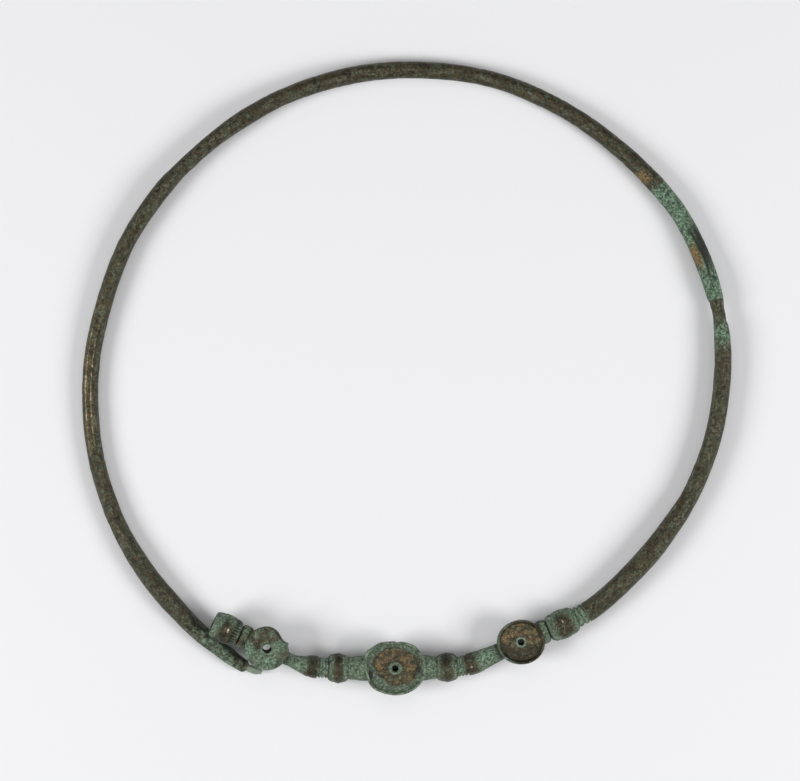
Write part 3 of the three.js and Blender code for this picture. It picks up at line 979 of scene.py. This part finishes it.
def patina():
    """Grey-green and turquoise corrosion over dark bronze, by zone, with painted shade in the dark zone and
    painted highlights. Noise breaks up the zones' edges.
    """
    material = bpy.data.materials.new("patina_on_bronze")
    n = Nodes(material)
    place = n.new("ShaderNodeTexCoord").outputs["Object"]
    scaled = n.new("ShaderNodeVectorMath", operation="SCALE")
    n.link(place, scaled.inputs[0])
    scaled.inputs["Scale"].default_value = 1 / MM
    at = scaled.outputs["Vector"]
    wrap = n.new("ShaderNodeAttribute", attribute_name="wrap").outputs["Vector"]
    green, brown, dark, bright, gold, pale = (n.attribute(name) for name in ZONES)
    middle = n.noise(at, 0.95, 7, 0.68, 0.5)
    grain = n.noise(at, 2.3, 5, 0.72)
    speck = n.noise(at, 1.5, 4, 0.7, 0.9)
    streak = n.noise(wrap, 1.0, 6, 0.7)

    malachite = n.mix(n.ramp(middle, 0.38, 0.62), linear(58, 76, 54), linear(110, 130, 106))
    malachite = n.mix(n.ramp(grain, 0.53, 0.66), malachite, linear(162, 178, 158))
    malachite = n.mix(n.ramp(grain, 0.47, 0.36), malachite, linear(20, 26, 15))
    turquoise = n.mix(n.ramp(middle, 0.4, 0.6), linear(44, 70, 50), linear(116, 144, 118))
    turquoise = n.mix(n.ramp(grain, 0.54, 0.66), turquoise, linear(162, 186, 160))
    turquoise = n.mix(n.ramp(grain, 0.47, 0.38), turquoise, linear(16, 26, 17))
    dirt = n.mix(n.ramp(middle, 0.4, 0.62), linear(20, 17, 9), linear(84, 69, 43))
    olive = n.mix(n.ramp(streak, 0.4, 0.6), linear(40, 42, 26), linear(98, 102, 82))
    bronze = n.mix(n.ramp(speck, 0.45, 0.58), dirt, olive)
    bronze = n.mix(n.ramp(grain, 0.44, 0.34), bronze, linear(20, 18, 10))
    tan = n.mix(n.ramp(grain, 0.4, 0.62), linear(62, 50, 27), linear(150, 127, 84))

    ragged = n.math("MULTIPLY", n.math("SUBTRACT", middle, 0.5), 1.9)
    brown_at = n.ramp(n.math("ADD", brown, ragged), 0.32, 0.74)
    green_at = n.ramp(n.math("ADD", green, ragged), 0.4, 0.75)
    streaky = n.math("MULTIPLY", n.math("SUBTRACT", streak, 0.5), 2.2)
    gold_at = n.ramp(n.math("ADD", gold, streaky), 0.4, 0.8)
    dark_at = n.ramp(n.math("ADD", dark, n.math("MULTIPLY", ragged, 0.7)), 0.22, 0.95)
    painted_highlight_at = n.ramp(n.math("ADD", bright, ragged), 0.5, 0.8)
    pale_at = n.ramp(n.math("ADD", pale, ragged), 0.4, 0.85)

    base = n.mix(brown_at, malachite, bronze)
    bloom = n.math("MULTIPLY", n.ramp(speck, 0.56, 0.68), BLOOM_STRENGTH)
    base = n.mix(bloom, base, linear(112, 128, 104))
    base = n.mix(gold_at, base, tan)
    base = n.mix(green_at, base, turquoise)
    base = n.mix(n.math("MULTIPLY", pale_at, PALE_STRENGTH), base, linear(150, 164, 146))
    # Dark patina and painted shade.
    base = n.mix(n.math("MULTIPLY", dark_at, DARK_STRENGTH), base, linear(15, 13, 7))
    # Painted highlights.
    base = n.mix(painted_highlight_at, base, linear(205, 190, 165))

    shader = n.new("ShaderNodeBsdfPrincipled")
    n.link(base, shader.inputs["Base Color"])
    metal = n.math("SUBTRACT", n.math("MAXIMUM", brown_at, gold_at), green_at, True)
    n.link(n.math("MULTIPLY", metal, METAL_SHARE), shader.inputs["Metallic"])
    sheen = n.math("MULTIPLY", metal, METAL_SHEEN)
    rough = n.math("SUBTRACT", CORROSION_ROUGHNESS, sheen)
    uneven = n.math("MULTIPLY", n.math("SUBTRACT", grain, 0.5), UNEVEN_SHEEN)
    n.link(n.math("ADD", rough, uneven, True), shader.inputs["Roughness"])
    bump = n.new("ShaderNodeBump")
    bump.inputs["Strength"].default_value = BUMP_STRENGTH
    bump.inputs["Distance"].default_value = BUMP_HEIGHT
    n.link(n.math("ADD", grain, middle), bump.inputs["Height"])
    n.link(bump.outputs["Normal"], shader.inputs["Normal"])
    out = n.new("ShaderNodeOutputMaterial")
    n.link(shader.outputs[0], out.inputs["Surface"])
    return material


def paper():
    material = bpy.data.materials.new("pale_floor")
    n = Nodes(material)
    shader = n.new("ShaderNodeBsdfPrincipled")
    shader.inputs["Base Color"].default_value = (0.86, 0.86, 0.875, 1)
    shader.inputs["Roughness"].default_value = 0.95
    shader.inputs["Specular IOR Level"].default_value = 0.1
    out = n.new("ShaderNodeOutputMaterial")
    n.link(shader.outputs[0], out.inputs["Surface"])
    return material


torc = build_torc()
torc.data.materials.append(patina())
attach(torc, "root")
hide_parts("torc")

FLOOR_SIZE = 4
bpy.ops.mesh.primitive_plane_add(size=FLOOR_SIZE, location=(0, 0, 0))
floor = bpy.context.object
floor.name = "floor"
floor.data.materials.append(paper())


# Two soft lights low at the left and the right, a little towards the front, and a weak one above.
def soft_light(name, place, width, height, watts):
    light = bpy.data.lights.new(name, "AREA")
    light.shape = "RECTANGLE"
    light.size = width
    light.size_y = height
    light.energy = watts
    lamp = bpy.data.objects.new(name, light)
    lamp.location = place
    lamp.rotation_euler = (-Vector(place)).to_track_quat("-Z", "Y").to_euler()
    bpy.context.scene.collection.objects.link(lamp)


soft_light("left_light", (-0.75, -0.2, 0.6), 0.42, 0.42, 5.7)
soft_light("right_light", (0.75, -0.24, 0.6), 0.42, 0.42, 5.7)
soft_light("top_light", (0.0, 0.3, 1.2), 1.0, 1.0, 2.4)
WORLD_STRENGTH = 0.2
world = bpy.data.worlds.new("studio")
world.use_nodes = True
background = world.node_tree.nodes["Background"]
background.inputs["Color"].default_value = (1, 1, 1, 1)
background.inputs["Strength"].default_value = WORLD_STRENGTH
bpy.context.scene.world = world

# The camera looks straight down. The photo's frame is 800 pixels wide at 0.2308 mm a pixel.
FRAME_WIDTH = 0.18464
FRAME_MIDDLE = (-0.00151, -0.00294)
SENSOR_WIDTH = 36
CAMERA_HEIGHT = 0.75
RING_HEIGHT = 0.003
camera_data = bpy.data.cameras.new("camera")
camera_data.sensor_width = SENSOR_WIDTH
camera_data.lens = SENSOR_WIDTH * (CAMERA_HEIGHT - RING_HEIGHT) / FRAME_WIDTH
camera_data.clip_start = 0.01
camera = bpy.data.objects.new("camera", camera_data)
camera.location = (*FRAME_MIDDLE, CAMERA_HEIGHT)
bpy.context.scene.collection.objects.link(camera)
bpy.context.scene.camera = camera

view = bpy.context.scene.view_settings
view.view_transform = "Standard"
view.look = "None"
view.exposure = 0
